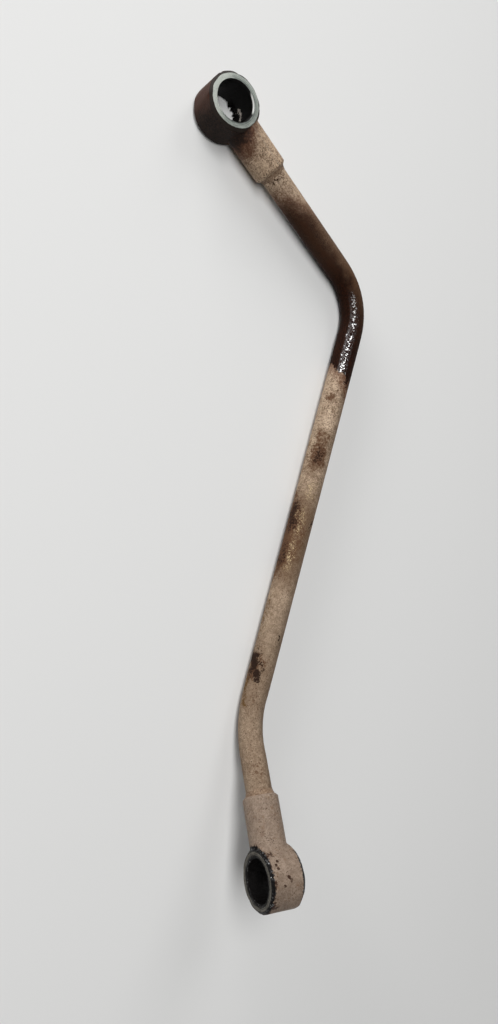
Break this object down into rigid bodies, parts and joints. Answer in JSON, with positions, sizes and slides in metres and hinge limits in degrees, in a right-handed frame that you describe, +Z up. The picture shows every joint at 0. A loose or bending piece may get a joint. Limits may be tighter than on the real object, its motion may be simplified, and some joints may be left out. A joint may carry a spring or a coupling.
{
  "type": "oil delivery pipe",
  "caption": "Bent steel pipe with a brazed banjo eye at each end, which carries engine oil between two hollow bolts.",
  "frame": {"origin": "on the surface the pipe lies on, under the centre of its outline", "axes": "+Y along the middle run towards the long leg, +Z up from the surface, and the long leg on the -X side"},
  "size_m": [0.0908, 0.2334, 0.0322],
  "materials": {
    "pipe_steel": "dull steel under thin baked oil, varnish and dark specks",
    "eye_steel": "dull steel under baked oil, with a turned sealing face",
    "braze_metal": "dull brazing metal under baked oil"
  },
  "bodies": {
    "root": {"pipe_tube": "pipe_steel", "long_leg_banjo_eye": "eye_steel", "short_leg_banjo_eye": "eye_steel", "long_leg_braze_fillet": "braze_metal", "short_leg_braze_fillet": "braze_metal"}
  },
  "joints": []
}
